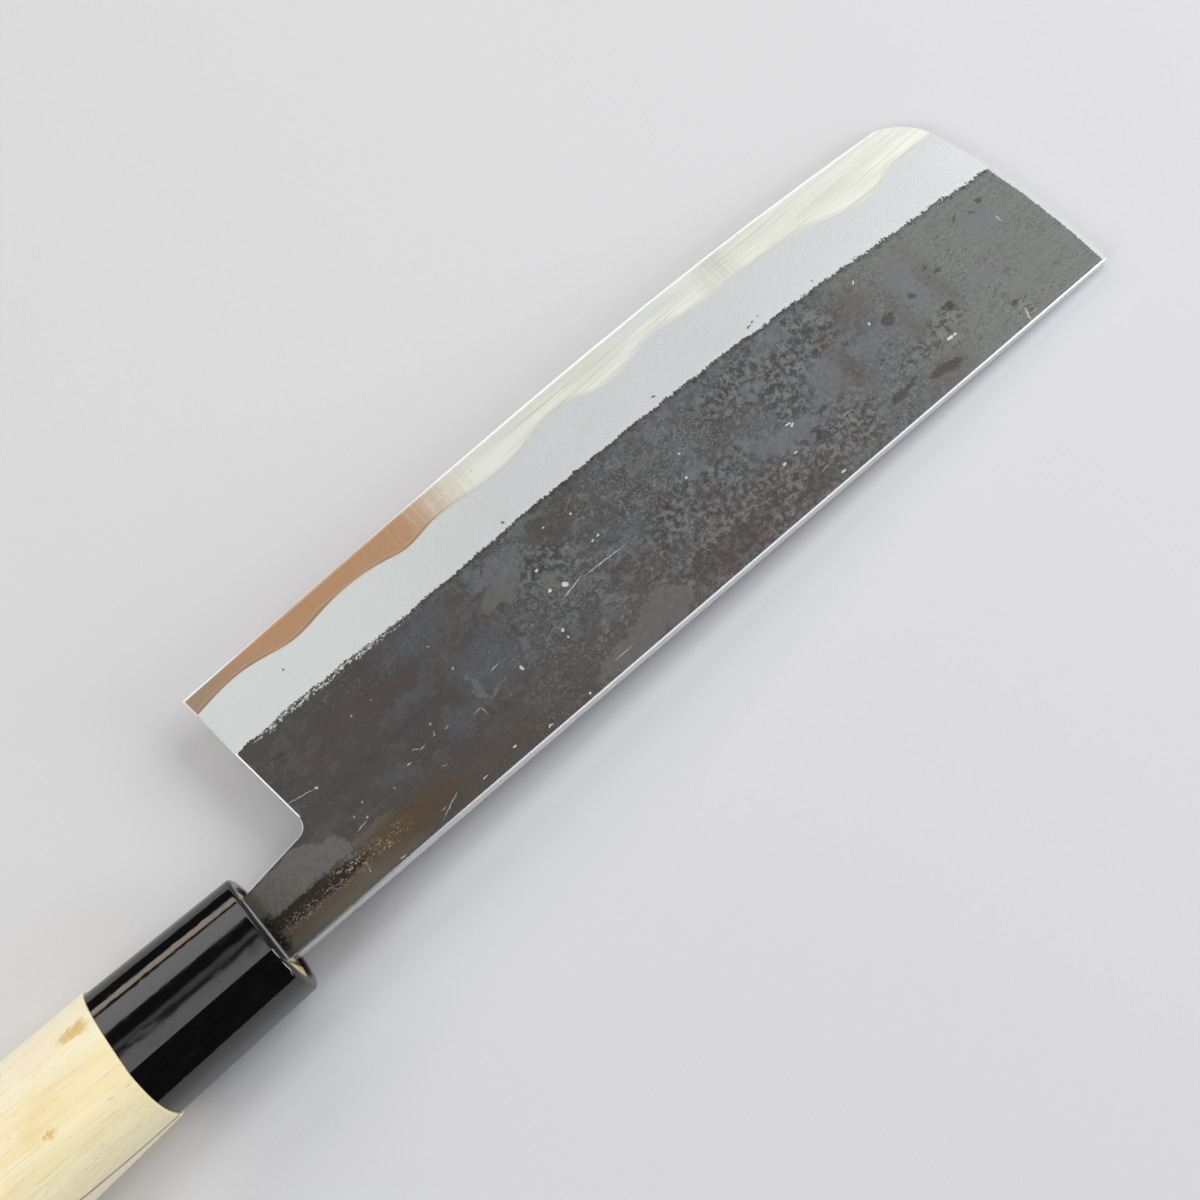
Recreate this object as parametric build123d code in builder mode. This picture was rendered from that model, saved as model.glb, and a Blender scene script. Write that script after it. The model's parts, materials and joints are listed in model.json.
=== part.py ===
from build123d import *
import os
from math import atan2, cos, sin

# Nakiri: a straight-edged vegetable knife, lying on its right side as on a table, tip towards +X, edge
# towards +Y, left cheek up. Sizes are in millimetres. Along the knife, distances count from the heel
# towards the tip; across it, from the straight spine towards the edge; upwards, from the blade's mid-plane.

# Blade outline
blade_length = 165.0
neck_length = 11.5
neck_height = 13.2
choil_height = 15.1
choil_radius = 2.2
heel_height = 46.6
heel_lean = 3.2
belly_height = 47.85
rise_height = 47.2
nose_height = 43.9
nose_start = 37.0
nose_setback = 4.1
nose_run = 9.2
nose_rise = 1.6
front_bow = 1.15

# Blade thickness
root_thickness = 3.3
tip_thickness = 2.4
shoulder_thickness = 2.5
koba_height = 0.5
koba_thickness = 0.3
edge_land = 0.12
spine_chamfer = 0.25
choil_chamfer = 0.3

# Grind line, where the ground bevel meets the dark cheek
heel_grind = 32.8
belly_grind = 32.5
rise_grind = 30.3
nose_grind = 25.4

# Stations of the belly and of the rise towards the nose, as shares of the blade's length
belly_at = 0.4
rise_at = 0.73

# Laminated steel: a hard middle layer, bare along the edge up to a wavy line
core_layer = 0.6
exposed_core = [
    (-0.03, 4.2),
    (0.0, 3.9),
    (0.053, 3.0),
    (0.096, 4.0),
    (0.127, 5.0),
    (0.175, 4.2),
    (0.247, 5.0),
    (0.273, 6.0),
    (0.31, 5.3),
    (0.4, 6.4),
    (0.45, 4.9),
    (0.49, 4.3),
    (0.532, 6.4),
    (0.57, 6.2),
    (0.608, 5.0),
    (0.667, 6.1),
    (0.73, 6.3),
    (0.79, 6.7),
    (0.83, 8.0),
    (0.88, 9.1),
    (0.91, 7.4),
    (0.97, 6.6),
    (1.03, 6.4),
]

# Tang, burned into the wood
tang_length = 80.0
tang_end_height = 6.0
tang_end_thickness = 2.0

# Ferrule
ferrule_length = 29.0
ferrule_front_width = 22.8
ferrule_front_thickness = 19.6
ferrule_back_width = 24.5
ferrule_back_thickness = 20.6
ferrule_wall = 2.1
rim_round = 0.8
rim_break = 0.3

# Handle
wood_length = 101.0
wood_proud = 0.45
swell_at = 35.0
swell_width = 27.9
swell_thickness = 22.4
butt_width = 29.0
butt_thickness = 23.0
butt_round = 1.4
shoulder_round = 0.35
tenon_recess = 0.7
front_centre = 5.7
back_centre = 4.9

# Handle section: a rounded oval with one soft ridge on its upper side, towards the spine. The places of
# the ridge and of the point on each flank are shares of half the width and half the thickness.
ridge_offset = 0.42
ridge_round = 2.5
ridge_flank_slope = 0.12
ridge_shoulder_slope = 0.22
flank_in = 0.55
flank_up = 0.76
shoulder_in = 0.83
shoulder_up = 0.74

# Run of the cutting shapes past the pieces that they cut
over = 14.0

# Lean of the eased neck and choil walls, in degrees
ease_angle = 45

# Distances worked out from the sizes above
ferrule_face = -neck_length
seam = ferrule_face - ferrule_length
butt_end = seam - wood_length
tang_root = ferrule_face - tenon_recess
tenon_width = ferrule_front_width - 2 * ferrule_wall
tenon_thickness = ferrule_front_thickness - 2 * ferrule_wall
wood_width = ferrule_back_width + 2 * wood_proud
wood_thickness = ferrule_back_thickness + 2 * wood_proud
thickness_fall = (root_thickness - tip_thickness) / (blade_length - ferrule_face)
cheek_slope = (root_thickness + thickness_fall * ferrule_face - shoulder_thickness) / 2 / heel_grind

# Resting pose: the knife lies on the ferrule's front rim and on the tip of its right cheek
rest_drop = (ferrule_front_thickness - tip_thickness) / 2
pitch = atan2(rest_drop, blade_length - ferrule_face)
reach_tip = blade_length * cos(pitch) + tip_thickness / 2 * sin(pitch)
reach_butt = butt_end * cos(pitch) - (butt_thickness / 2 - butt_round) * sin(pitch)
reach_spine = back_centre - butt_width / 2
lift = blade_length * sin(pitch) + tip_thickness / 2 * cos(pitch)
knife = Plane(
    origin=(-(reach_tip + reach_butt) / 2, -(belly_height + reach_spine) / 2, lift),
    x_dir=(cos(pitch), 0, -sin(pitch)),
    z_dir=(sin(pitch), 0, cos(pitch)),
)

# Flat left cheek, which leans in towards the tip and towards the edge, flat spine, and the eased corner
# between them, all facing outwards
cheek = Plane(
    origin=knife.from_local_coords((ferrule_face, 0, root_thickness / 2)),
    z_dir=knife.x_dir * (thickness_fall / 2) + knife.y_dir * cheek_slope + knife.z_dir,
)
spine = Plane(origin=knife.origin, z_dir=-knife.y_dir)
eased_corner = Plane(
    origin=knife.from_local_coords((ferrule_face, 0, root_thickness / 2 - spine_chamfer)),
    z_dir=cheek.z_dir + spine.z_dir,
)

# Stations of the blade: distance from the heel, height of the edge, height of the grind line
stations = [
    (tang_root, heel_height, heel_grind),
    (0, heel_height, heel_grind),
    (belly_at * blade_length, belly_height, belly_grind),
    (rise_at * blade_length, rise_height, rise_grind),
    (blade_length, nose_height, nose_grind),
]


def across(along, centre=0.0):
    """Plane across the knife: x towards the edge, y up, facing the tip."""
    return Plane(origin=knife.from_local_coords((along, centre, 0)), x_dir=knife.y_dir, z_dir=knife.x_dir)


def thickness_at(along, height):
    """Thickness between the two flat cheeks, which close up towards the tip and towards the edge."""
    return root_thickness - thickness_fall * (along - ferrule_face) - 2 * cheek_slope * height


def edge_height_at(share):
    """Height of the edge at a share of the blade's length, straight from station to station."""
    along = share * blade_length
    for (start, low, _), (end, high, _) in zip(stations, stations[1:]):
        if along <= end:
            break
    return low + (high - low) * (along - start) / (end - start)


def bevel_section(along, edge, grind):
    """Section across the bevels, which are drawn out past the grind line and past the spine."""
    koba_top = edge - koba_height
    bevel_slope = (thickness_at(along, grind) - koba_thickness) / 2 / (koba_top - grind)
    half_profile = [
        (-over, koba_thickness / 2 + bevel_slope * (koba_top + over)),
        (koba_top, koba_thickness / 2),
        (edge, edge_land / 2),
    ]
    other_half = [(height, -half) for height, half in reversed(half_profile)]
    with BuildSketch(across(along)) as section:
        with BuildLine():
            Polyline(*half_profile, *other_half, close=True)
        make_face()
    return section.sketch


def handle_section(along, width, thickness, centre):
    """Section across the handle: half an oval below, two soft flanks that meet in the ridge above."""
    half_width = width / 2
    half_height = thickness / 2
    ridge = (-ridge_offset * half_width, half_height)
    with BuildSketch(across(along, centre)) as section:
        with BuildLine():
            EllipticalCenterArc((0, 0), half_width, half_height, start_angle=180, arc_size=180)
            Spline(
                (half_width, 0),
                (flank_in * half_width, flank_up * half_height),
                ridge,
                tangents=((0, 1), (-1, ridge_flank_slope)),
            )
            Spline(
                ridge,
                (-shoulder_in * half_width, shoulder_up * half_height),
                (-half_width, 0),
                tangents=((-1, -ridge_shoulder_slope), (0, -1)),
            )
        make_face()
        fillet(section.vertices().sort_by_distance(ridge)[0], ridge_round)
    return section.sketch


# Tang, tapering into the wood
with BuildPart() as tang:
    for along, height, thickness in (
        (tang_root, neck_height, thickness_at(tang_root, neck_height)),
        (tang_root - tang_length, tang_end_height, tang_end_thickness),
    ):
        with BuildSketch(across(along, neck_height / 2)):
            Rectangle(height, thickness)
    loft()

# Blade outline: heel, choil, neck, front and nose as a body, whose walls lean in where they ease the neck
with BuildPart() as outline_body:
    heel_foot = (heel_lean, choil_height)
    heel_top = (-heel_lean * over / (heel_height - choil_height), heel_height + over)
    nose_foot = (blade_length - nose_setback, nose_start)
    nose_end = (blade_length - nose_setback - nose_run, nose_height + nose_rise)
    front_middle = (blade_length - nose_setback / 2 + front_bow, nose_start / 2)
    with BuildSketch(knife) as outline:
        with BuildLine():
            Polyline((tang_root, neck_height), (tang_root, -over), (blade_length, -over), (blade_length, 0))
            front = ThreePointArc((blade_length, 0), front_middle, nose_foot)
            TangentArc(nose_foot, nose_end, tangent=front % 1)
            Polyline(nose_end, (nose_end[0], heel_top[1]), heel_top, heel_foot, (tang_root, neck_height))
        make_face()
        fillet(outline.vertices().sort_by_distance(heel_foot)[0], choil_radius)
    extrude(amount=thickness_at(tang_root, neck_height) / 2 - choil_chamfer)
    upper_face = outline_body.faces().sort_by(Axis(knife.origin, knife.z_dir))[-1]
    extrude(upper_face, amount=root_thickness, taper=ease_angle)
    mirror(about=knife)

# Blade blank: long bevels cut to the outline, then to the flat cheek and the straight, eased spine. The
# left half is made and mirrored.
with BuildPart() as blank:
    for along, edge, grind in stations:
        add(bevel_section(along, edge, grind))
    loft()
    add(outline_body.part, mode=Mode.INTERSECT)
    for flat in (cheek, spine, eased_corner):
        split(bisect_by=flat, keep=Keep.BOTTOM)
    split(bisect_by=knife, keep=Keep.TOP)
    mirror(about=knife)

# Zone of the hard steel: a thin middle layer all along, and everything from the wavy line to the edge
with BuildPart() as core_zone:
    with BuildSketch(knife):
        with Locations(((tang_root - tang_length + blade_length) / 2, 0)):
            Rectangle(tang_length - tang_root + blade_length + 2 * over, 2 * (belly_height + over))
    extrude(amount=core_layer / 2, both=True)
    with BuildSketch(knife):
        wave = [(share * blade_length, edge_height_at(share) - width) for share, width in exposed_core]
        with BuildLine():
            Spline(*wave)
            Polyline(wave[-1], (wave[-1][0], belly_height + over), (wave[0][0], belly_height + over), wave[0])
        make_face()
    extrude(amount=root_thickness, both=True)

with BuildPart() as core_steel:
    add(blank.part)
    add(tang.part)
    add(core_zone.part, mode=Mode.INTERSECT)
core_steel.part.label = "core_steel"

with BuildPart() as left_cladding:
    add(blank.part)
    add(tang.part)
    add(core_zone.part, mode=Mode.SUBTRACT)
    split(bisect_by=knife, keep=Keep.TOP)
left_cladding.part.label = "left_cladding"

with BuildPart() as right_cladding:
    add(blank.part)
    add(tang.part)
    add(core_zone.part, mode=Mode.SUBTRACT)
    split(bisect_by=knife, keep=Keep.BOTTOM)
right_cladding.part.label = "right_cladding"

# Ferrule: a ring that narrows a little towards the blade
with BuildPart() as ferrule:
    add(handle_section(ferrule_face, ferrule_front_width, ferrule_front_thickness, front_centre))
    add(handle_section(seam, ferrule_back_width, ferrule_back_thickness, front_centre))
    loft()
    mouth = knife.from_local_coords((ferrule_face, front_centre, 0))
    fillet(ferrule.faces().sort_by_distance(mouth)[0].edges(), rim_round)
    add(handle_section(seam, tenon_width, tenon_thickness, front_centre))
    extrude(amount=ferrule_length, dir=knife.x_dir, mode=Mode.SUBTRACT)
    chamfer(ferrule.faces().sort_by_distance(mouth)[0].inner_wires().edges(), rim_break)
ferrule.part.label = "ferrule"

# Handle: wood body with a tenon through the ferrule and a slot for the tang
with BuildPart() as handle:
    add(handle_section(seam, wood_width, wood_thickness, front_centre))
    add(handle_section(seam - swell_at, swell_width, swell_thickness, back_centre))
    add(handle_section(butt_end, butt_width, butt_thickness, back_centre))
    loft()
    for along, centre, radius in ((seam, front_centre, shoulder_round), (butt_end, back_centre, butt_round)):
        end_face = handle.faces().sort_by_distance(knife.from_local_coords((along, centre, 0)))[0]
        fillet(end_face.edges(), radius)
    add(handle_section(seam, tenon_width, tenon_thickness, front_centre))
    extrude(amount=ferrule_length - tenon_recess, dir=knife.x_dir)
    add(tang.part, mode=Mode.SUBTRACT)
handle.part.label = "handle"

os.makedirs("parts", exist_ok=True)
for piece in (core_steel, left_cladding, right_cladding, ferrule, handle):
    export_step(piece.part, f"parts/{piece.part.label}.step")
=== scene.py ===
import json
from math import cos, pi, radians, sin

import bmesh
import bpy
from bpy.props import FloatProperty, FloatVectorProperty, PointerProperty
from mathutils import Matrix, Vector


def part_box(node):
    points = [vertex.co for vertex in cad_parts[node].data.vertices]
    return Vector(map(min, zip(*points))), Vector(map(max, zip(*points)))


bl_info = {
    "name": "Nakiri knife",
    "version": (1, 0, 0),
    "blender": (4, 5, 0),
    "location": "3D View > Sidebar > Nakiri",
    "description": "Finishes the blade, ferrule and handle of a nakiri knife and lights it on a pale table",
    "category": "Object",
}

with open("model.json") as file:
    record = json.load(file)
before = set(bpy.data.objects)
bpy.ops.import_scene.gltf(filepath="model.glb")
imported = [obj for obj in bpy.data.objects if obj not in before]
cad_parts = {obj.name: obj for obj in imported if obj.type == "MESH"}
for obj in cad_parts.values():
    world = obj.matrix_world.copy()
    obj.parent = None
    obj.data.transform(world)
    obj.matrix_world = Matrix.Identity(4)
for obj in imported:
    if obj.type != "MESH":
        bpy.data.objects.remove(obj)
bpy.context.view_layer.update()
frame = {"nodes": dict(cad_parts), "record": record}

MM = 0.001

# Sizes of the knife that its patterns follow, in millimetres, along it from the heel and across it from
# the spine
BLADE_LENGTH = 165.0
NECK_LENGTH = 11.5
CHOIL_HEIGHT = 15.1
HEEL_HEIGHT = 46.6
HEEL_LEAN = 3.2
FRONT_SETBACK = 4.1
FRONT_BOW = 1.15
FRONT_HEIGHT = 37.0

# Depth of the bare hard steel, from the edge to the wavy line, and height of the edge, at shares of the
# blade, each drawn on a scale that goes up to its top
CORE_LINE = (
    (0.0, 3.9), (0.053, 3.0), (0.096, 4.0), (0.127, 5.0), (0.175, 4.2), (0.247, 5.0), (0.273, 6.0),
    (0.31, 5.3), (0.4, 6.4), (0.45, 4.9), (0.49, 4.3), (0.532, 6.4), (0.57, 6.2), (0.608, 5.0),
    (0.667, 6.1), (0.73, 6.3), (0.79, 6.7), (0.83, 8.0), (0.88, 9.1), (0.91, 7.4), (0.97, 6.6), (1.0, 6.5),
)
CORE_TOP = 10.0
EDGE_LINE = ((0.0, 46.6), (0.4, 47.85), (0.73, 47.2), (1.0, 43.9))
EDGE_TOP = 50.0

# Height of the grind line, between the dark cheek and the ground bevel
GRIND_LINE = (
    (0.0, 32.7), (0.1, 33.0), (0.25, 32.3), (0.4, 32.5), (0.52, 32.1), (0.7, 30.6), (0.86, 28.3),
    (1.0, 25.6),
)
GRIND_TOP = 40.0

# Where each change of the scale's tone begins and ends along the blade, in millimetres: the scale grows
# lighter towards the tip, partly its own tone and partly a painted sheen
SCALE_CHANGES = ((20, 62), (72, 104), (112, 150))

# Mottling of the forge scale: grains per millimetre, how far they are drawn out, offset, values between which
# the tone comes in, its share, its colour, and where along the blade it comes in and goes out
MOTTLES = (
    (0.08, 0.8, 11, 0.5, 0.64, 0.3, (100, 104, 108), (14, 34, 118, 150)),
    (0.11, 0.7, 37, 0.49, 0.6, 0.45, (82, 75, 72), (20, 40, 112, 130)),
    (0.22, 0.5, 53, 0.53, 0.62, 0.45, (70, 65, 63), (-12, 4, 60, 90)),
    (0.3, 0.6, 83, 0.54, 0.64, 0.35, (96, 95, 94), (-12, 4, 50, 70)),
    (0.34, 0.9, 71, 0.45, 0.41, 0.38, (68, 66, 65), (36, 62, 116, 134)),
    (0.4, 0.9, 93, 0.54, 0.58, 0.4, (119, 122, 123), (34, 56, 122, 150)),
    (0.75, 0.9, 17, 0.44, 0.41, 0.42, (64, 60, 59), (14, 50, 124, 150)),
    (0.6, 0.8, 67, 0.54, 0.6, 0.34, (103, 98, 90), (118, 140, 200, 220)),
    (1.0, 0.9, 29, 0.56, 0.6, 0.42, (132, 135, 135), (34, 60, 120, 160)),
    (1.1, 0.6, 87, 0.44, 0.39, 0.3, (86, 85, 82), (120, 140, 200, 220)),
    (1.9, 0.7, 43, 0.58, 0.66, 0.34, (128, 128, 127), (-12, 0, 44, 70)),
    (1.95, 0.9, 19, 0.56, 0.62, 0.5, (138, 139, 138), (44, 70, 200, 220)),
    (2.1, 0.7, 61, 0.43, 0.36, 0.5, (50, 47, 46), (-12, 0, 200, 220)),
    (3.2, 0.8, 79, 0.55, 0.63, 0.5, (142, 143, 142), (20, 60, 200, 220)),
    (3.4, 0.8, 97, 0.45, 0.37, 0.5, (46, 44, 44), (20, 60, 200, 220)),
)

# The low brown band lies over the mottling of this grain and under the finer ones
BROWNED_AFTER = 0.75

# Grains finer than this many per millimetre lie in clusters
GATHERED_FROM = 1.5

# Marks on the left cheek: along, height, half length, half height, and turn in degrees where it has one
BROKEN_ZONES = (
    (115, 24, 12, 5.5), (109, 18, 4.5, 4.5), (94, 5.5, 22, 5.5), (114, 6, 6, 5), (131, 8.6, 5, 1.6),
    (138, 9.5, 3.6, 3), (61, 22.5, 6, 4.5), (87, 14, 12, 5), (104, 25, 8, 5), (149, 3.8, 1.4, 2.2),
)
BLUE_PATCHES = (
    (53.5, 28.8, 5, 2.4, 4), (56.5, 27.5, 2.6, 2.2, -20), (62.5, 31, 3.2, 1.2, 4), (67.5, 30.8, 2.4, 0.9),
    (99.5, 16, 2.6, 1.2, 20), (103, 13, 4.2, 1.8, 12), (107.5, 11.5, 3, 1.4, -8), (90, 18.8, 2.4, 1, -20),
    (105.3, 23, 1.4, 1.6, 30), (98.2, 28, 2.4, 0.7, -38), (93, 29.5, 1.6, 0.8, 20),
    (73.5, 27.5, 1.4, 0.8, 10), (114.5, 28, 3.2, 1.9, 6), (117, 16.5, 3, 3.6, 10), (126.5, 15.5, 4, 2.4),
    (137.5, 19, 2.4, 4.8), (147.5, 12, 2.8, 1.6, 4), (154.5, 20.5, 3.4, 1.8, 12),
    (48.8, 15.3, 0.6, 1.7, 20), (39, 14.6, 0.5, 2.6), (41.3, 12.2, 2.6, 0.5), (57.2, 12.6, 1.5, 0.8),
    (71, 16.2, 2, 0.9, -20), (66.5, 15, 0.9, 0.9),
)
OLIVE_PATCHES = (
    (52.3, 24.4, 4.6, 2.1), (59.6, 20.4, 2.6, 1.4, -10), (64.6, 21.6, 1.2, 1), (58.5, 2, 4.2, 1.9, 8),
    (64.5, 2.8, 4, 2.8), (71.5, 3.8, 4.6, 3.8), (83, 25.3, 1.8, 1),
)
BROWN_PATCHES = (
    (66, 27.8, 4.2, 3, -8), (62.8, 25.5, 1.6, 1.2), (11, 24, 3, 0.9, 10), (22, 25, 9, 1.4, 2),
    (30, 24.5, 6, 1.6, -6), (89, 13.5, 3, 1.6, 10), (86, 4, 8, 2.6), (104, 3, 4, 2),
)
SHADES = (
    (121.2, 16, 1.6, 8), (134, 16, 1.4, 7), (141.8, 17, 1.6, 7), (128, 22.5, 4, 3.6), (133, 3.4, 4.4, 2.4),
)
CLOUDS = (
    (29, 20.3, 4.5, 1.5, 4), (43, 17.5, 5.5, 4), (36, 28.5, 6, 1.8), (34, 12, 4, 2.4), (20, 12, 3, 2),
)
DARK_SPOTS = (
    (131.3, 16.8, 1.25, 1, -25), (137.2, 17.4, 0.5, 0.8), (143.5, 17.8, 0.7, 0.4, 15),
    (142.3, 19.6, 0.5, 0.3), (123.6, 5.2, 1.9, 0.9), (126.4, 5.6, 1.6, 0.5, -6), (131.6, 4, 2.4, 0.9, 8),
    (134.2, 3.2, 1.6, 0.8), (109.4, 8.7, 1.3, 1), (112.2, 12.3, 0.9, 0.6), (140.2, 11.5, 1, 0.9, 30),
    (148.4, 4.4, 0.6, 0.5), (152.4, 22.8, 0.9, 0.3, -40), (155, 21.6, 0.6, 0.25, 40),
    (157.6, 22.4, 0.6, 0.4), (58.6, 24.6, 0.4, 1.6, 8), (51.6, 29.4, 0.9, 0.35, -60),
    (6.6, 27.4, 1.5, 0.3, 4), (6.9, 26.4, 0.6, 0.25),
)
CHIPS = (
    (60.9, 18.2, 0.62, 0.45, 50), (58.9, 23.2, 0.34, 0.28, 20), (58.3, 19, 0.34, 0.28),
    (46.4, 12, 0.24, 0.46, -10), (55.6, 12.3, 0.3, 0.3), (55.5, 10.9, 0.2, 0.2), (69.2, 20.9, 0.26, 0.18),
    (70.5, 21, 0.3, 0.1), (69.5, 27, 0.18, 0.18), (64.5, 28.2, 0.2, 0.16), (89.8, 22.7, 0.26, 0.22),
    (88, 18.6, 0.2, 0.2), (101.5, 9.3, 0.34, 0.28, 10), (104.2, 9.5, 0.34, 0.14, 10),
    (106.6, 14.2, 0.5, 0.2, 10), (107, 13.6, 0.4, 0.2, -40), (136.6, 7.2, 0.6, 0.28),
    (137.6, 7.1, 0.3, 0.22), (8.4, 19.2, 0.24, 0.18, 40), (22.4, 12, 0.45, 0.12, 4), (37.2, 2.6, 0.42, 0.2),
    (43.8, 1.3, 0.4, 0.16), (30.4, 1.9, 0.5, 0.12), (52.1, 1.1, 0.24, 0.22), (128.6, 18.4, 0.3, 0.14, -50),
    (107.7, 1.6, 0.42, 0.18), (131.8, 25.9, 0.45, 0.14, -35),
)
SCRATCHES = (
    (61.6, 17, 2.3, 0.11, -11), (68.3, 16.9, 3.9, 0.09, 3), (5.8, 19.8, 2.6, 0.06, 11),
    (23.2, 2.1, 2.2, 0.07, -24), (60.6, 2.6, 1.8, 0.07), (157.5, 17.9, 0.06, 0.9), (115, 9, 0.8, 0.06),
    (106, 4.1, 1.1, 0.05), (148.8, 1.6, 0.1, 1.2, 20), (150.2, 1.3, 0.9, 0.06, 4),
    (43.2, 15.2, 0.8, 0.08, -8), (10.2, 9.2, 1, 0.09, -10), (11.7, 9.7, 0.2, 0.16),
    (10.1, 11.2, 0.08, 0.34), (12.6, 12.2, 0.14, 0.2), (18, 10.5, 0.08, 0.34, -8),
    (24.6, 13.2, 0.6, 0.07, 30), (25.6, 12.6, 0.6, 0.07, -10), (28.6, 13.2, 0.5, 0.07, -50),
    (30.8, 12.6, 0.5, 0.07), (29.2, 14.8, 0.14, 0.16), (36.4, 11.3, 0.9, 0.07),
    (37.3, 10.5, 0.07, 0.6, -12), (26.6, 7.9, 0.5, 0.07, 30), (37, 25.4, 0.3, 0.08, 50),
    (20.1, 24.8, 0.14, 0.14), (24.2, 24.7, 0.12, 0.14), (37.8, 19.7, 0.14, 0.2), (6.7, 2.6, 0.07, 0.4),
    (12.2, 0.7, 0.6, 0.12, 8), (22, 2.4, 0.5, 0.07),
)

# Crisp-edged pale patch of the neck, rust along the neck and its halo
NECK_PATCH = ((-5, 10.4, 9, 3.6), (2.2, 9.6, 4.4, 2.4), (4.6, 8.4, 2.6, 1.6))
NECK_STRIP = ((2, 1.6, 15, 1.7), (11, 7.6, 4.6, 0.8))
RUST_HALO = ((-2, 4.5, 13, 2.5), (11, 4.6, 7, 2.6))
RUST_TAIL = ((18, 4.6, 8, 3),)
RUST = ((-5, 5.4, 8.5, 1.25), (2.5, 5, 5.5, 1.1), (-5, 6.6, 6.5, 0.4), (1.5, 6, 4.5, 0.4))
RUST_GRAINS = ((7, 4.8, 9.5, 1.6), (-4, 4.4, 6.5, 1.2))

# Pits of the ground bevel, and stains and pores of the wood: pores by number per millimetre, offset and share
BEVEL_PITS = (
    (16.3, 39, 0.2, 0.24), (60.1, 33.7, 0.2, 0.32, -30), (93.4, 33.5, 0.3, 0.2, 10),
    (113.6, 32, 0.5, 0.18, -6), (114.6, 32.3, 0.3, 0.18, -10), (116, 32.5, 0.16, 0.14),
    (127, 31, 0.1, 0.26),
)
WOOD_STAINS = ((-44.3, 12.3, 2.7, 0.9, 6), (-43, 12.8, 1.2, 0.7), (-55.4, 1.3, 0.8, 0.7, 20))
WOOD_PORES = ((1.2, 0, 0.3), (1.9, 40, 0.36), (2.8, 90, 0.4))

# Turn of the wood's grain in degrees, and the share that the wood is squeezed to lengthwise while its stains
# are frayed, so that they fray along the grain
GRAIN_TURN = 2.5
STAIN_SQUEEZE = 0.6

# Fineness of brushed lines along the knife, in lines per millimetre, and where the patina ends and is whole
BRUSHED_LENGTHWISE = 0.035
PATINA_END = 63.0
PATINA_WHOLE = 45.0

# How squarely a face looks up or down from the blade where it is still a cheek, and where it is a side
CHEEK_FACING = 0.94
SIDE_FACING = 0.82

# Roughness of the finishes without a setting, refraction of the ring's gloss, and depth of relief in metres
WALL_ROUGHNESS = 0.24
SCALE_ROUGHNESS = 0.44
RING_ROUGHNESS = 0.06
WOOD_ROUGHNESS = 0.42
GLOSS_IOR = 1.75
SCRATCH_DEPTH = 0.000006
SCALE_DEPTH = 0.00005
WAVE_DEPTH = 0.00006
GRAIN_DEPTH = 0.00003

# White light, and how far from the knife the long lamps hang, in metres
WHITE = (1.0, 1.0, 1.0)
LAMP_REACH = 0.9

# Long lamps, parallel to the knife: lean from overhead towards the edge and width, both in degrees, ends in
# metres, brightness and colour
LONG_LAMPS = (
    ("overhead", 21.0, 17.0, -0.6, 1.1, 1.2, WHITE),
    ("overhead_edge", 32.0, 2.0, -0.6, 1.1, 0.5, WHITE),
    ("window", 49.5, 17.0, -0.6, 1.1, 1.6, WHITE),
    ("low_window", 64.5, 7.0, -0.6, 1.1, 2.8, (1.0, 0.83, 0.68)),
    ("spine_side", -75.0, 12.0, -0.03, 0.9, 1.2, WHITE),
)

# Lamps past the butt and the tip, and the cool lamp that lights the ring's rim, with its size in metres, its
# brightness and its colour
END_LAMPS = (("butt_end", (-0.75, -0.05, 0.6)), ("tip_end", (0.75, -0.05, 0.6)))
END_LAMP_SIZE = (0.6, 0.6)
RIM_LAMP = ("rim", (0.6, -0.6, 0.32), (0.26, 0.5), 7.0, (0.85, 0.9, 1.0))

# How far the table reaches, and where it turns darker as painted shade towards the lamps, in metres
# from the middle of the knife
TABLE_REACH = 3.0
TABLE_NEAR = 0.4
TABLE_FAR = 0.8


def srgb(red, green, blue):
    """Linear colour of an 8-bit screen colour."""
    shares = [value / 255 for value in (red, green, blue)]
    return [share / 12.92 if share <= 0.04045 else ((share + 0.055) / 1.055) ** 2.4 for share in shares]


def knife_place():
    """Origin of the knife's own frame, at the heel's end of the spine, and its pitch, from its mounts."""
    mounts = {mount["name"]: mount for mount in frame["record"]["mounts"]}
    left, right = mounts["left_cheek"], mounts["right_cheek"]
    up = (Vector(left["axis"]) - Vector(right["axis"])).normalized()
    pitch = Vector((0, 0, 1)).angle(Vector((up.x, 0, up.z)))
    middle = (Vector(left["pos_m"]) + Vector(right["pos_m"])) / 2
    low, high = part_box("core_steel")
    reach = (high.x - middle.x) / cos(pitch)
    to_heel = BLADE_LENGTH * MM - reach
    return Vector((middle.x - to_heel * cos(pitch), low.y, middle.z + to_heel * sin(pitch))), pitch


KNIFE_ORIGIN, KNIFE_PITCH = knife_place()


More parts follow.
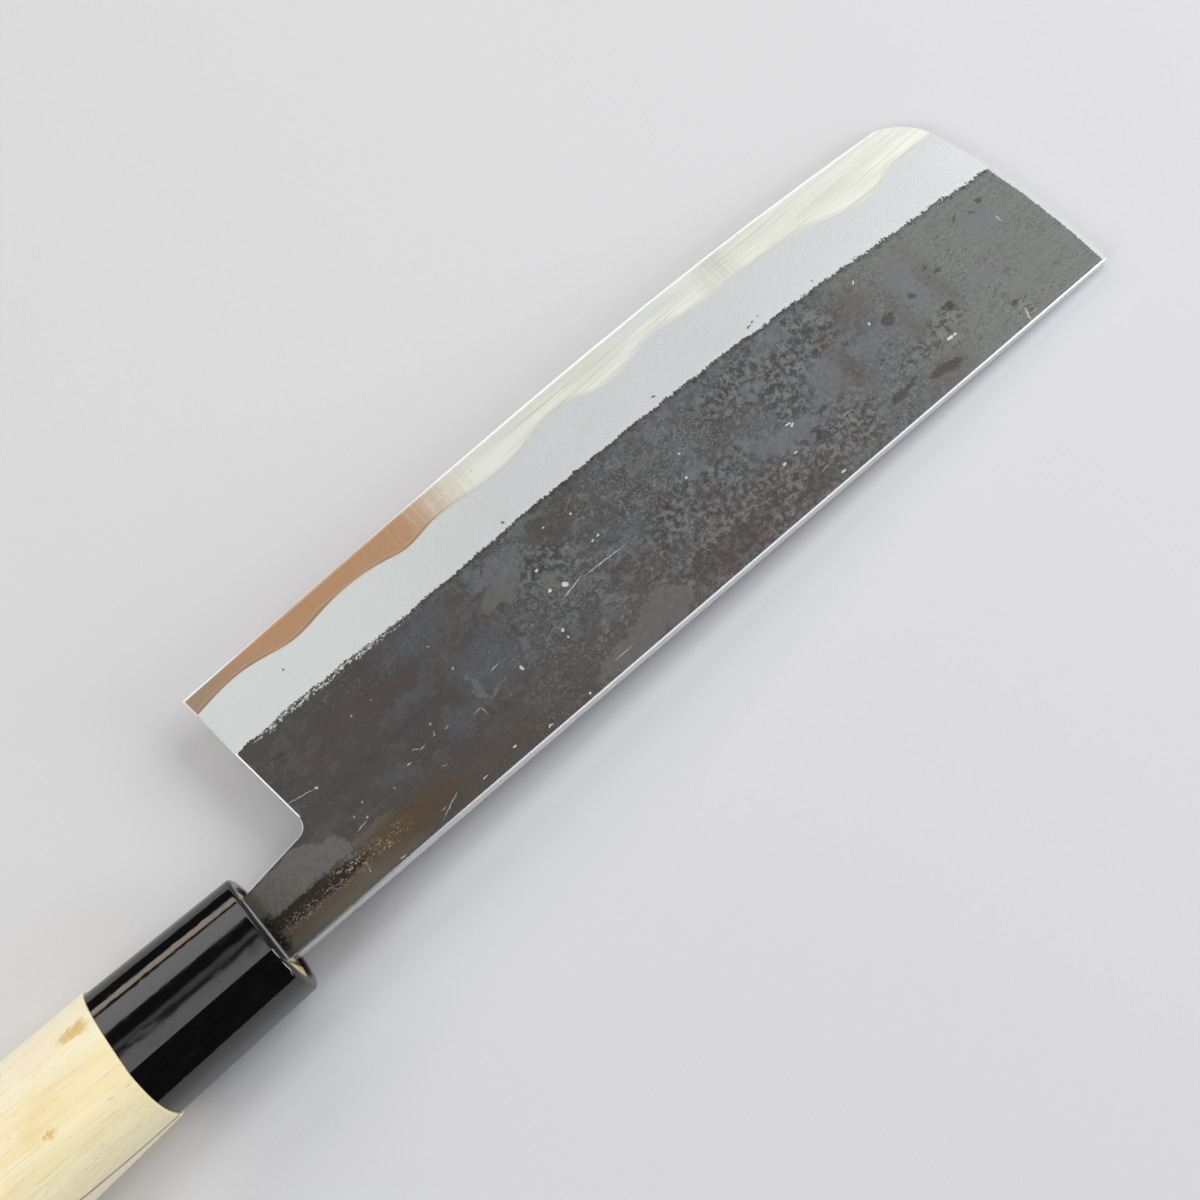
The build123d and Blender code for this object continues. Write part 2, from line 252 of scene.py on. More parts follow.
class Board:
    """A node tree that is wired while its nodes are added."""

    def __init__(self, tree):
        self.tree = tree
        self.nodes = tree.nodes

    def node(self, kind, inputs=None, **settings):
        """One node: settings are its own properties, inputs are values or sockets by name or place."""
        made = self.nodes.new(kind)
        for name, value in settings.items():
            setattr(made, name, value)
        for name, value in (inputs or {}).items():
            self.feed(made.inputs[name], value)
        return made

    def feed(self, socket, value):
        """Links a socket to an input, or sets its value."""
        if isinstance(value, bpy.types.NodeSocket):
            self.tree.links.new(value, socket)
        elif socket.type == "RGBA":
            socket.default_value = (*value[:3], 1.0)
        else:
            socket.default_value = value

    def feed_all(self, made, values):
        """Feeds a node's inputs in their order and gives its outputs."""
        for socket, value in zip(made.inputs, values):
            self.feed(socket, value)
        return made.outputs

    def math(self, operation, *values):
        """One sum of one or two numbers."""
        return self.feed_all(self.node("ShaderNodeMath", operation=operation), values)[0]

    def chain(self, operation, first, others):
        """The same sum with each of the others in turn."""
        for other in others:
            first = self.math(operation, first, other)
        return first

    def add(self, first, *others):
        return self.chain("ADD", first, others)

    def times(self, first, *others):
        return self.chain("MULTIPLY", first, others)

    def most(self, first, *others):
        return self.chain("MAXIMUM", first, others)

    def minus(self, first, second):
        return self.math("SUBTRACT", first, second)

    def without(self, value):
        """One minus a mask."""
        return self.minus(1.0, value)

    def step(self, value, low, high, start=0.0, end=1.0):
        """Smooth change from start to end while value goes from low to high."""
        made = self.node("ShaderNodeMapRange", interpolation_type="SMOOTHSTEP")
        return self.feed_all(made, (value, low, high, start, end))[0]

    def line(self, value, low, high, start=0.0, end=1.0):
        """Straight change from start to end while value goes from low to high."""
        return self.feed_all(self.node("ShaderNodeMapRange"), (value, low, high, start, end))[0]

    def between(self, value, first, whole, fading, last):
        """Mask that comes in from first to whole and goes out from fading to last."""
        return self.times(self.step(value, first, whole), self.step(value, last, fading))

    def curve(self, value, points, top):
        """Value read from a smooth curve through points, whose heights go up to top."""
        made = self.node("ShaderNodeFloatCurve", {"Value": value})
        curve = made.mapping.curves[0]
        for place, height in points[1:-1]:
            curve.points.new(place, height / top)
        for point, (place, height) in zip((curve.points[0], curve.points[-1]), (points[0], points[-1])):
            point.location = (place, height / top)
        made.mapping.update()
        return self.times(made.outputs[0], top)

    def stretch(self, vector, scale, offset=(0.0, 0.0, 0.0)):
        """Place scaled along its axes and then moved, for a texture to read."""
        inputs = {"Vector": vector, "Scale": scale, "Location": offset}
        return self.node("ShaderNodeMapping", inputs).outputs[0]

    def turn(self, vector, angle):
        """Place turned about the blade's upward axis."""
        return self.node("ShaderNodeVectorRotate", {"Vector": vector, "Angle": angle}).outputs[0]

    def vector(self, operation, *values, output="Vector"):
        """One sum of vectors."""
        return self.feed_all(self.node("ShaderNodeVectorMath", operation=operation), values)[output]

    def noise(self, vector, scale=1.0, detail=4.0, rough=0.55, bend=0.0, output="Fac"):
        """Soft noise of scale grains per millimetre."""
        inputs = {"Vector": vector, "Scale": scale, "Detail": detail, "Roughness": rough, "Distortion": bend}
        return self.node("ShaderNodeTexNoise", inputs).outputs[output]

    def mix(self, mask, below, above):
        """Colour below with colour above laid over it where the mask is white."""
        made = self.node("ShaderNodeMix", data_type="RGBA")
        for name, value in (("Factor_Float", mask), ("A_Color", below), ("B_Color", above)):
            self.feed(next(entry for entry in made.inputs if entry.identifier == name), value)
        return next(entry for entry in made.outputs if entry.identifier == "Result_Color")

    def lay(self, below, mask, share, colour):
        """Colour below with a share of a screen colour laid over it where the mask is white."""
        return self.mix(self.times(mask, share), below, srgb(*colour))

    def lay_steps(self, below, *layers):
        """Colour below with layers over it: what each follows, where it comes in, its share, its colour."""
        for value, low, high, share, colour in layers:
            below = self.lay(below, self.step(value, low, high), share, colour)
        return below

    def blend(self, mask, below, above):
        """Number below with number above laid over it where the mask is white."""
        return self.line(mask, 0.0, 1.0, below, above)

    def group(self, name, inputs=None):
        """One of the shared groups: its outputs, by name."""
        made = self.node("ShaderNodeGroup", node_tree=bpy.data.node_groups[name])
        for key, value in (inputs or {}).items():
            self.feed(made.inputs[key], value)
        return made.outputs

    def bump(self, height, depth, strength):
        """Normal of a surface whose height goes up by depth metres."""
        inputs = {"Height": height, "Distance": depth, "Strength": strength}
        return self.node("ShaderNodeBump", inputs).outputs["Normal"]


def new_group(name, inputs, outputs):
    """Empty shader node group with named sockets, its board, and its input and output nodes."""
    tree = bpy.data.node_groups.new(name, "ShaderNodeTree")
    for way, sockets in (("INPUT", inputs), ("OUTPUT", outputs)):
        for socket, kind in sockets:
            tree.interface.new_socket(name=socket, in_out=way, socket_type=kind)
    board = Board(tree)
    return board, board.node("NodeGroupInput").outputs, board.node("NodeGroupOutput").inputs


NUMBER = "NodeSocketFloat"
VECTOR = "NodeSocketVector"


def build_place_group():
    """Place on the knife in millimetres, share of the blade, and how far a face is turned from the cheeks."""
    numbers = [(name, NUMBER) for name in ("Along", "Height", "Up", "Side", "Share")]
    board, _, out = new_group("Knife Place", [], [("Place", VECTOR), *numbers])
    object_place = board.node("ShaderNodeTexCoord").outputs["Object"]
    place = board.node("ShaderNodeMapping", {"Vector": object_place}, vector_type="TEXTURE")
    place.inputs["Location"].default_value = KNIFE_ORIGIN
    place.inputs["Rotation"].default_value = (0.0, KNIFE_PITCH, 0.0)
    place.inputs["Scale"].default_value = (MM, MM, MM)
    parts = board.node("ShaderNodeSeparateXYZ", {"Vector": place.outputs[0]}).outputs
    turned = board.math("ABSOLUTE", facing(board, (sin(KNIFE_PITCH), 0.0, cos(KNIFE_PITCH))))
    board.feed(out["Place"], place.outputs[0])
    for name, socket in zip(("Along", "Height", "Up"), parts):
        board.feed(out[name], socket)
    board.feed(out["Side"], board.step(turned, CHEEK_FACING, SIDE_FACING))
    board.feed(out["Share"], board.line(parts[0], 0.0, BLADE_LENGTH))


def facing(board, direction):
    """How squarely a face looks in a direction."""
    normal = board.node("ShaderNodeNewGeometry").outputs["True Normal"]
    return board.vector("DOT_PRODUCT", normal, direction, output="Value")


def build_patch_group():
    """Mask of one oval patch, whose edge is as ragged as the place that it is given."""
    inputs = [("Place", VECTOR), ("Centre", VECTOR), ("Size", VECTOR), ("Turn", NUMBER), ("Softness", NUMBER)]
    board, given, out = new_group("Patch", inputs, [("Mask", NUMBER)])
    moved = board.vector("SUBTRACT", given["Place"], given["Centre"])
    shares = board.vector("DIVIDE", board.turn(moved, given["Turn"]), given["Size"])
    length = board.vector("LENGTH", board.vector("MULTIPLY", shares, (1.0, 1.0, 0.0)), output="Value")
    inner = board.minus(1.0, given["Softness"])
    outer = board.add(1.0, given["Softness"])
    board.feed(out["Mask"], board.step(length, outer, inner))


def build_brushed_group():
    """Fine lengthwise lines, from 0 to 1, of a fineness across the knife in lines per millimetre."""
    board, given, out = new_group("Brushed", [("Place", VECTOR), ("Fineness", NUMBER)], [("Lines", NUMBER)])
    fineness = {"X": BRUSHED_LENGTHWISE, "Y": given["Fineness"], "Z": given["Fineness"]}
    drawn = board.stretch(given["Place"], board.node("ShaderNodeCombineXYZ", fineness).outputs[0])
    fine = board.noise(drawn, detail=5.0, rough=0.7)
    board.feed(out["Lines"], board.line(fine, 0.3, 0.7))


def build_dust_group():
    """Mask of scattered specks: their number per millimetre, size, and the share of cells that holds one."""
    sockets = [("Place", VECTOR), ("Number", NUMBER), ("Size", NUMBER), ("Share", NUMBER)]
    board, given, out = new_group("Dust", sockets, [("Mask", NUMBER)])
    near = board.node("ShaderNodeTexVoronoi", {"Vector": given["Place"], "Scale": given["Number"]})
    chosen = board.node("ShaderNodeSeparateColor", {"Color": near.outputs["Color"]}).outputs
    kept = board.math("LESS_THAN", chosen[0], given["Share"])
    grown = board.times(given["Size"], board.line(chosen[1], 0.0, 1.0, 0.4, 1.0))
    dot = board.step(near.outputs["Distance"], grown, board.times(grown, 0.6))
    board.feed(out["Mask"], board.times(kept, dot))


def build_groups():
    """The node groups that the materials share."""
    build_place_group()
    build_patch_group()
    build_brushed_group()
    build_dust_group()


def brushed(board, place, fineness):
    """Fine lengthwise lines, from 0 to 1."""
    return board.group("Brushed", {"Place": place, "Fineness": fineness})["Lines"]


def dust(board, place, number, size, share):
    """Mask of scattered specks."""
    return board.group("Dust", {"Place": place, "Number": number, "Size": size, "Share": share})["Mask"]


def patches(board, place, marks, softness):
    """Mask of all marks of one kind."""
    mask = 0.0
    for mark in marks:
        along, height, half_length, half_height, turn = (*mark, 0)[:5]
        one = board.group("Patch", {
            "Place": place,
            "Centre": (along, height, 0.0),
            "Size": (half_length, half_height, 1.0),
            "Turn": radians(turn),
            "Softness": softness,
        })["Mask"]
        mask = board.most(one, mask)
    return mask


def new_material(name):
    """Material with an empty Principled BSDF, and its board."""
    material = bpy.data.materials.new(name)
    material.use_nodes = True
    board = Board(material.node_tree)
    board.shader = next(node for node in board.nodes if node.type == "BSDF_PRINCIPLED")
    return material, board


def finish_surface(board, **values):
    """Sets or links the shader's sockets."""
    for name, value in values.items():
        board.feed(board.shader.inputs[name.replace("_", " ")], value)


def raggedness(board, place):
    """A coarse and a fine noise that push a place about, along and across."""
    pushes = []
    for scale, detail, rough in ((0.35, 2.0, 0.55), (1.6, 4.0, 0.7)):
        noise = board.noise(place, scale, detail, rough, output="Color")
        parts = board.node("ShaderNodeSeparateColor", {"Color": noise}).outputs
        pushes.append(board.node("ShaderNodeCombineXYZ", {"X": parts[0], "Y": parts[1]}).outputs[0])
    return pushes


def ragged_place(board, place, noises, coarse, fine):
    """The place pushed about by noise, in millimetres, so that patch edges come out ragged."""
    for noise, reach in zip(noises, (coarse, fine)):
        pushed = board.vector("MULTIPLY_ADD", noise, (reach,) * 3, (-reach / 2,) * 3)
        place = board.vector("ADD", place, pushed)
    return place


def front_gap(board, along, height):
    """Distance from the blade's front edge, in millimetres."""
    share = board.line(height, 0.0, FRONT_HEIGHT)
    setback = board.times(share, FRONT_SETBACK)
    bow = board.times(share, board.without(share), 4.0 * FRONT_BOW)
    front = board.add(board.minus(BLADE_LENGTH, setback), bow)
    return board.minus(front, along)


def heel_line(board, along, height):
    """Mask of the bright eased corner of the heel, which narrows towards the edge."""
    width = board.line(height, CHOIL_HEIGHT, HEEL_HEIGHT, 0.5, 0.3)
    wall = board.line(height, CHOIL_HEIGHT, HEEL_HEIGHT, HEEL_LEAN, 0.0)
    line = board.step(board.minus(along, wall), width, board.add(width, -0.12))
    return board.times(line, board.step(height, CHOIL_HEIGHT + 1.9, CHOIL_HEIGHT + 2.4))


def edge_gap(board, share, height):
    """Distance from the cutting edge, in millimetres."""
    return board.minus(board.curve(share, EDGE_LINE, EDGE_TOP), height)


def core_gap(board, share, edge):
    """Distance above the wavy line, towards the edge, in millimetres."""
    return board.minus(board.curve(share, CORE_LINE, CORE_TOP), edge)


def core_material(settings):
    """Polished hard steel: lengthwise scratches, a warm patina at the heel, small dark specks."""
    material, board = new_material("core_steel_polish")
    at = board.group("Knife Place")
    place, along, height = at["Place"], at["Along"], at["Height"]
    lines = brushed(board, place, 4.5)
    broad = brushed(board, place, 0.9)
    cloud = board.noise(board.stretch(place, (0.05, 0.14, 0.1)), detail=3.0)

    # Pale steel, with a faint band drawn across it before the rise of the edge
    pale = board.mix(board.step(cloud, 0.35, 0.65), settings.core_colour, settings.core_highlight)
    edge = edge_gap(board, at["Share"], height)
    gap = core_gap(board, at["Share"], edge)
    drawn = board.lay_steps(
        pale,
        (lines, 0.45, 0.1, 0.52, (180, 180, 170)),
        (lines, 0.55, 0.85, 0.5, (255, 255, 250)),
        (broad, 0.45, 0.1, 0.26, (204, 204, 186)),
        (gap, 1.4, 3.8, 0.2, (210, 212, 204)),
    )
    crossed = board.noise(board.stretch(place, (2.2, 0.1, 0.1)), rough=0.7)
    band = board.between(along, 111.0, 114.0, 118.5, 122.0)
    band = board.times(band, board.step(crossed, 0.35, 0.65, 0.3, 1.0))
    drawn = board.lay(drawn, band, 0.34, (176, 180, 168))
    blue = board.times(board.between(along, 92.0, 98.0, 106.0, 114.0), board.step(broad, 0.45, 0.8))
    drawn = board.lay(drawn, blue, 0.35, (216, 226, 238))

    # Patina, which pales in fine lines drawn from the edge upwards
    hairs = board.line(crossed, 0.35, 0.65, -1.7, 1.7)
    warm = board.step(board.add(along, hairs), PATINA_END, PATINA_WHOLE)
    tan_cloud = board.noise(board.stretch(place, (0.09, 0.3, 0.3)), detail=3.0)
    tan = board.mix(board.step(tan_cloud, 0.35, 0.65), settings.patina_colour, srgb(194, 156, 124))
    tan = board.lay(tan, board.step(along, 18.0, 2.0), 0.8, (172, 150, 128))
    fine_hair = board.times(board.step(crossed, 0.5, 0.7), board.step(along, 28.0, 50.0, 0.05, 1.0))
    tan = board.lay(tan, fine_hair, 0.28, (226, 200, 166))
    coloured = board.mix(warm, drawn, tan)

    # Along the wavy line the patina is pale and then brown, and the bare steel slightly grey
    coloured = board.lay(coloured, board.step(gap, 0.75, 0.3), board.times(warm, 0.4), (206, 184, 166))
    coloured = board.lay(coloured, board.times(board.step(gap, 0.34, 0.16), warm), 0.55, (150, 128, 112))
    grey = board.times(board.step(gap, 0.5, 0.2), board.without(warm))
    coloured = board.lay(coloured, grey, 0.3, (196, 198, 192))
    coloured = board.lay(coloured, dust(board, place, 0.6, 0.09, 0.34), 0.75, (112, 110, 100))
    glints = dust(board, board.stretch(place, (0.6, 1.0, 1.0), (7.0, 3.0, 0.0)), 0.7, 0.1, 0.2)
    coloured = board.lay(coloured, board.times(glints, board.step(along, 56.0, 40.0)), 0.7, (236, 214, 184))
    walls = board.most(at["Side"], board.step(edge, 0.42, 0.3), heel_line(board, along, height))
    coloured = board.mix(walls, coloured, settings.polish_colour)
    rough = board.add(settings.core_roughness, board.times(lines, 0.08), board.times(cloud, 0.06))
    normal = board.bump(lines, SCRATCH_DEPTH, 0.3)
    finish_surface(board, Base_Color=coloured, Metallic=1.0, Roughness=rough, Normal=normal)
    return material


def scale_colour(board, at, place, settings, zones):
    """Mottled colour of the dark forge scale, and its height for the bump."""
    along, height = at["Along"], at["Height"]
    drift = board.noise(place, 0.06)
    drifted = board.add(along, board.line(drift, 0.3, 0.7, -14.0, 14.0))
    # Painted sheen: the base colour grows lighter from heel to tip, partly the scale's own tone and partly
    # painted light
    shade = settings.scale_brown
    tones_and_sheen = (settings.scale_blue, settings.scale_worn, settings.scale_tip)
    for (start, full), tone in zip(SCALE_CHANGES, tones_and_sheen):
        shade = board.mix(board.step(drifted, start, full), shade, tone)
    brown_top = board.line(drift, 0.35, 0.65, 9.0, 17.0)
    low = board.times(board.step(height, brown_top, 3.0), board.between(along, 10.0, 26.0, 96.0, 130.0))
    clusters = board.noise(board.stretch(place, (0.7, 1.0, 1.0), (9.0, 4.0, 0.0)), 0.13, detail=3.0)
    gathered = board.step(clusters, 0.4, 0.6, 0.3, 1.0)
    stretches = {}
    for number, drawn, offset, start, full, share, colour, reach in MOTTLES:
        moved = board.stretch(place, (drawn, 1.0, 1.0), (offset, offset, 0.0))
        spots = board.noise(moved, number, detail=5.0, rough=0.62)
        if reach not in stretches:
            stretches[reach] = board.between(along, *reach)
        grains = board.times(board.step(spots, start, full), stretches[reach])
        if number > GATHERED_FROM:
            grains = board.times(grains, gathered)
        shade = board.lay(shade, grains, share, colour)
        if number == BROWNED_AFTER:
            brown = board.mix(board.step(along, 40.0, 95.0), srgb(84, 76, 69), srgb(96, 91, 87))
            shade = board.mix(board.times(low, 0.62), shade, brown)

    # Dark and pale islands where the scale is broken up
    moved = board.stretch(place, (1.0, 1.0, 1.0), (55.0, 20.0, 0.0))
    islands = board.noise(moved, 0.85, detail=5.0, rough=0.66, bend=0.4)
    deep = board.mix(board.step(height, 15.0, 10.0), srgb(54, 53, 54), srgb(64, 56, 53))
    shade = board.mix(board.times(zones, board.step(islands, 0.485, 0.46), 0.62), shade, deep)
    shade = board.lay(shade, board.times(zones, board.step(islands, 0.53, 0.57)), 0.5, (132, 134, 132))
    relief = board.add(board.times(islands, 0.8), board.times(spots, 0.35))
    return shade, relief


def rusted_neck(board, at, place, noises, shade):
    """The scale's colour with the thin pale scale of the neck, the rust along it and the dirt at its root."""
    along, height = at["Along"], at["Height"]
    torn = ragged_place(board, place, noises, 4.0, 2.6)
    clouded = board.step(board.noise(place, 1.4, detail=5.0, rough=0.7), 0.36, 0.6, 0.6, 0.95)
    pale = board.times(patches(board, torn, NECK_PATCH, 0.07), clouded)
    shade = board.lay(shade, pale, 1.0, (110, 109, 105))
    torn = ragged_place(board, place, noises, 1.2, 1.8)
    shade = board.lay(shade, patches(board, torn, NECK_STRIP, 0.3), 0.6, (104, 98, 84))
    shade = board.lay(shade, patches(board, torn, RUST_TAIL, 0.5), 0.6, (86, 68, 38))
    shade = board.lay(shade, patches(board, torn, RUST_HALO, 0.3), 0.6, (93, 77, 56))
    granular = board.noise(board.stretch(place, (0.8, 1.2, 1.0)), 1.9, detail=5.0, rough=0.72)
    crust = board.times(patches(board, torn, RUST, 0.2), board.step(granular, 0.36, 0.46, 0.55, 1.0))
    shade = board.lay(shade, crust, 0.9, (36, 25, 22))
    grained = patches(board, torn, RUST_GRAINS, 0.4)
    shade = board.lay(shade, board.times(grained, board.step(granular, 0.44, 0.39)), 0.75, (36, 27, 20))
    curl_place = board.stretch(place, (0.8, 1.1, 1.0), (31.0, 12.0, 0.0))
    curls = board.noise(curl_place, 1.7, detail=3.0, rough=0.6, bend=1.6)
    shade = board.lay(shade, board.times(grained, board.step(curls, 0.56, 0.62)), 0.66, (180, 168, 152))

    # Dirt caked against the ring
    root = board.step(along, 1.9 - NECK_LENGTH, 0.9 - NECK_LENGTH)
    shade = board.lay(shade, root, 0.4, (70, 62, 46))
    from_root = board.line(along, 0.5 - NECK_LENGTH, 3.0 - NECK_LENGTH, 0.02, 0.3)
    caked = board.step(board.add(granular, from_root), 0.6, 0.55)
    soil = board.times(caked, board.between(height, 0.6, 2.0, 7.4, 9.0))
    return board.lay(shade, soil, 0.95, (10, 8, 5))


def mark_cheek(board, place, torn, noises, shade):
    """The scale's colour with the clouds, patches and spots of the left cheek."""
    rubbed = board.noise(place, 1.1, detail=5.0, rough=0.68)
    worn = board.step(rubbed, 0.38, 0.54, 0.5, 1.0)
    even = board.step(rubbed, 0.36, 0.6, 0.72, 1.0)
    for marks, softness, broken, share, colour in (
        (CLOUDS, 0.6, worn, 0.4, (96, 102, 108)),
        (BLUE_PATCHES, 0.12, worn, 0.62, (113, 118, 121)),
        (OLIVE_PATCHES, 0.06, even, 0.8, (108, 108, 106)),
    ):
        shade = board.lay(shade, board.times(patches(board, torn, marks, softness), broken), share, colour)
    shade = board.lay(shade, patches(board, torn, BROWN_PATCHES, 0.3), 0.6, (80, 71, 71))
    shade = board.lay(shade, patches(board, place, SHADES, 0.6), 0.34, (94, 87, 81))
    spots = patches(board, ragged_place(board, place, noises, 1.6, 1.6), DARK_SPOTS, 0.2)
    return board.lay(shade, spots, 0.62, (62, 57, 56))


def over_grind(board, at, place):
    """Distance over the ragged grind line, towards the edge, in millimetres."""
    tooth = board.noise(board.stretch(place, (1.0, 0.6, 1.0)), 2.4, detail=5.0, rough=0.75)
    swing = board.noise(place, 0.22, detail=2.0)
    longer = board.step(at["Along"], 112.0, 132.0, 1.0, 1.6)
    teeth = board.times(board.line(tooth, 0.3, 0.7, -0.4, 0.4), longer)
    wander = board.add(teeth, board.line(swing, 0.0, 1.0, -0.6, 0.6))
    grind = board.curve(at["Share"], GRIND_LINE, GRIND_TOP)
    return board.minus(at["Height"], board.add(grind, wander))


def bevel_shade(board, at, place, settings, over_line, grain):
    """Ground satin bevel: even grain, paler at the grind line, warm at the core, with a painted highlight at
    the heel.
    """
    along = at["Along"]
    cloud = board.noise(board.stretch(place, (0.05, 0.1, 0.1)), detail=2.0)
    bevel = board.lay_steps(
        board.mix(board.times(cloud, 0.7), settings.bevel_colour, settings.bevel_highlight),
        (grain, 0.45, 0.7, 0.4, (236, 240, 240)),
        (grain, 0.5, 0.3, 0.4, (184, 188, 188)),
        (over_line, 0.9, 0.1, 0.4, (226, 228, 226)),
        # Painted highlight: the bevel is painted paler towards the heel
        (along, 75.0, 5.0, 0.6, (226, 233, 231)),
    )
    gap = core_gap(board, at["Share"], edge_gap(board, at["Share"], at["Height"]))
    warmth = board.step(along, 70.0, 40.0, 0.25, 0.6)
    return board.lay(bevel, board.step(gap, -0.45, 0.0), warmth, (206, 192, 178))


def cladding_material(name, settings, shift, marked):
    """Soft iron: dark forge scale on the cheek, ground satin bevel below it, bright eased spine and choil."""
    material, board = new_material(name)
    at = board.group("Knife Place")
    place, along, height = at["Place"], at["Along"], at["Height"]
    moved = board.stretch(place, (1.0, 1.0, 1.0), shift)
    noises = raggedness(board, place)
    torn = ragged_place(board, place, noises, 6.5, 2.6)
    zones = board.step(along, 40.0, 90.0, 0.0, 0.6)
    if marked:
        zones = patches(board, torn, BROKEN_ZONES, 0.45)
    shade, relief = scale_colour(board, at, moved, settings, zones)
    lines = brushed(board, moved, 3.2)
    near_tip = board.step(along, 110.0, 152.0, 0.3, 1.0)
    shade = board.lay(shade, board.times(board.step(lines, 0.55, 0.95), near_tip), 0.2, (150, 154, 150))
    shade = board.lay(shade, board.times(board.step(lines, 0.45, 0.05), near_tip), 0.16, (84, 84, 80))
    if marked:
        shade = mark_cheek(board, place, torn, noises, shade)
    shade = rusted_neck(board, at, place, noises, shade)

    # Ragged boundary of the ground bevel, dark just inside it
    over_line = over_grind(board, at, place)
    flecked = board.noise(board.stretch(place, (0.55, 1.2, 1.0)), 2.6, detail=3.0, rough=0.65)
    dark_under_line = board.step(board.add(over_line, board.line(flecked, 0.34, 0.66, -0.7, 0.7)), -0.8, -0.2)
    shade = board.lay(shade, dark_under_line, board.step(along, 20.0, 70.0, 0.35, 0.66), (46, 46, 46))
    ground = board.step(over_line, -0.06, 0.06)
    front = front_gap(board, along, height)
    dashes = board.noise(board.stretch(place, (0.3, 1.0, 1.0)), 1.6, detail=3.0, rough=0.7)
    corner = board.step(board.add(front, board.line(dashes, 0.35, 0.65, -0.14, 0.14)), 0.56, 0.4)

    # Grains of bare metal just inside the boundary near the heel, then bright chips and scratches
    near_heel = board.between(along, 2.0, 8.0, 26.0, 52.0)
    zone = board.times(board.between(over_line, -1.35, -0.75, -0.25, -0.1), near_heel)
    fleck = board.step(flecked, board.blend(zone, 0.68, 0.49), board.blend(zone, 0.7, 0.53))
    flecks = board.times(fleck, zone)
    chips = board.times(dust(board, moved, 0.5, 0.06, 0.3), 0.6)
    if marked:
        chip_place = ragged_place(board, place, noises, 0.3, 0.8)
        scratched = board.times(patches(board, chip_place, SCRATCHES, 0.4), 0.7)
        chips = board.most(chips, patches(board, chip_place, CHIPS, 0.15), scratched)
    shade = board.lay(shade, chips, 0.92, (218, 220, 216))

    grain = board.noise(place, 5.0, detail=3.0, rough=0.7)
    bevel = bevel_shade(board, at, place, settings, over_line, grain)
    if marked:
        pits = patches(board, ragged_place(board, place, noises, 0.15, 0.5), BEVEL_PITS, 0.3)
        bevel = board.lay(bevel, pits, 0.85, (84, 82, 78))

    # Scale, bare metal and eased walls together
    bare = board.most(ground, board.times(flecks, 0.85), board.times(corner, 0.8))
    walls = board.most(at["Side"], heel_line(board, along, height))
    coloured = board.mix(walls, board.mix(bare, shade, bevel), settings.polish_colour)
    metal = board.most(bare, chips, walls)
    rough = board.add(SCALE_ROUGHNESS, board.times(relief, 0.1))
    rough = board.blend(ground, rough, settings.bevel_roughness)
    rough = board.blend(walls, rough, WALL_ROUGHNESS)
    relief = board.times(relief, board.without(metal))
    grained = board.times(grain, 0.08, board.without(walls))
    normal = board.bump(board.add(relief, grained, board.times(ground, -0.35)), SCALE_DEPTH, 0.55)
    metallic = board.blend(metal, settings.scale_metallic, 1.0)
    finish_surface(board, Base_Color=coloured, Metallic=metallic, Roughness=rough, Normal=normal)
    return material


def ferrule_material(settings):
    """Gloss black ring with faint polishing waves, dust and dull smears."""
    material, board = new_material("ferrule_gloss")
    place = board.group("Knife Place")["Place"]
    specks = dust(board, place, 0.8, 0.07, 0.16)
    smear = board.noise(board.stretch(place, (0.16, 0.5, 0.5)), detail=5.0, rough=0.7)
    smeared = board.times(board.step(smear, 0.5, 0.75), 0.5)
    coloured = board.mix(smeared, settings.ferrule_colour, srgb(22, 24, 27))
    coloured = board.lay(coloured, specks, 0.5, (110, 112, 118))
    rough = board.add(RING_ROUGHNESS, board.times(smeared, 0.25), board.times(specks, 0.4))
    wave = board.noise(board.stretch(place, (0.03, 0.16, 0.16)), detail=2.0)
    normal = board.bump(wave, WAVE_DEPTH, 0.5)
    finish_surface(board, Base_Color=coloured, Roughness=rough, Normal=normal, IOR=GLOSS_IOR)
    return material


def spine_light_and_shade(board, at, shade):
    """The wood's colour with a painted pale strip of light along the spine side and a painted dark line of
    shade along its edge.
    """
    rise = board.math("MINIMUM", board.line(at["Along"], -41.0, -61.0, 0.2, 4.4), 4.2)
    over_flat = board.minus(at["Up"], rise)
    spineward = board.step(at["Height"], -5.0, -6.0)
    # Painted light: a pale strip along the spine side; painted shade: a dark line along the strip's edge
    pale_strip_light = board.times(spineward, board.step(over_flat, 0.15, -0.15))
    shade = board.lay(shade, pale_strip_light, 0.8, (252, 238, 220))
    ridge_shade_line = board.times(spineward, board.step(board.math("ABSOLUTE", over_flat), 0.6, 0.15))
    return board.lay(shade, ridge_shade_line, 0.8, (168, 122, 88))


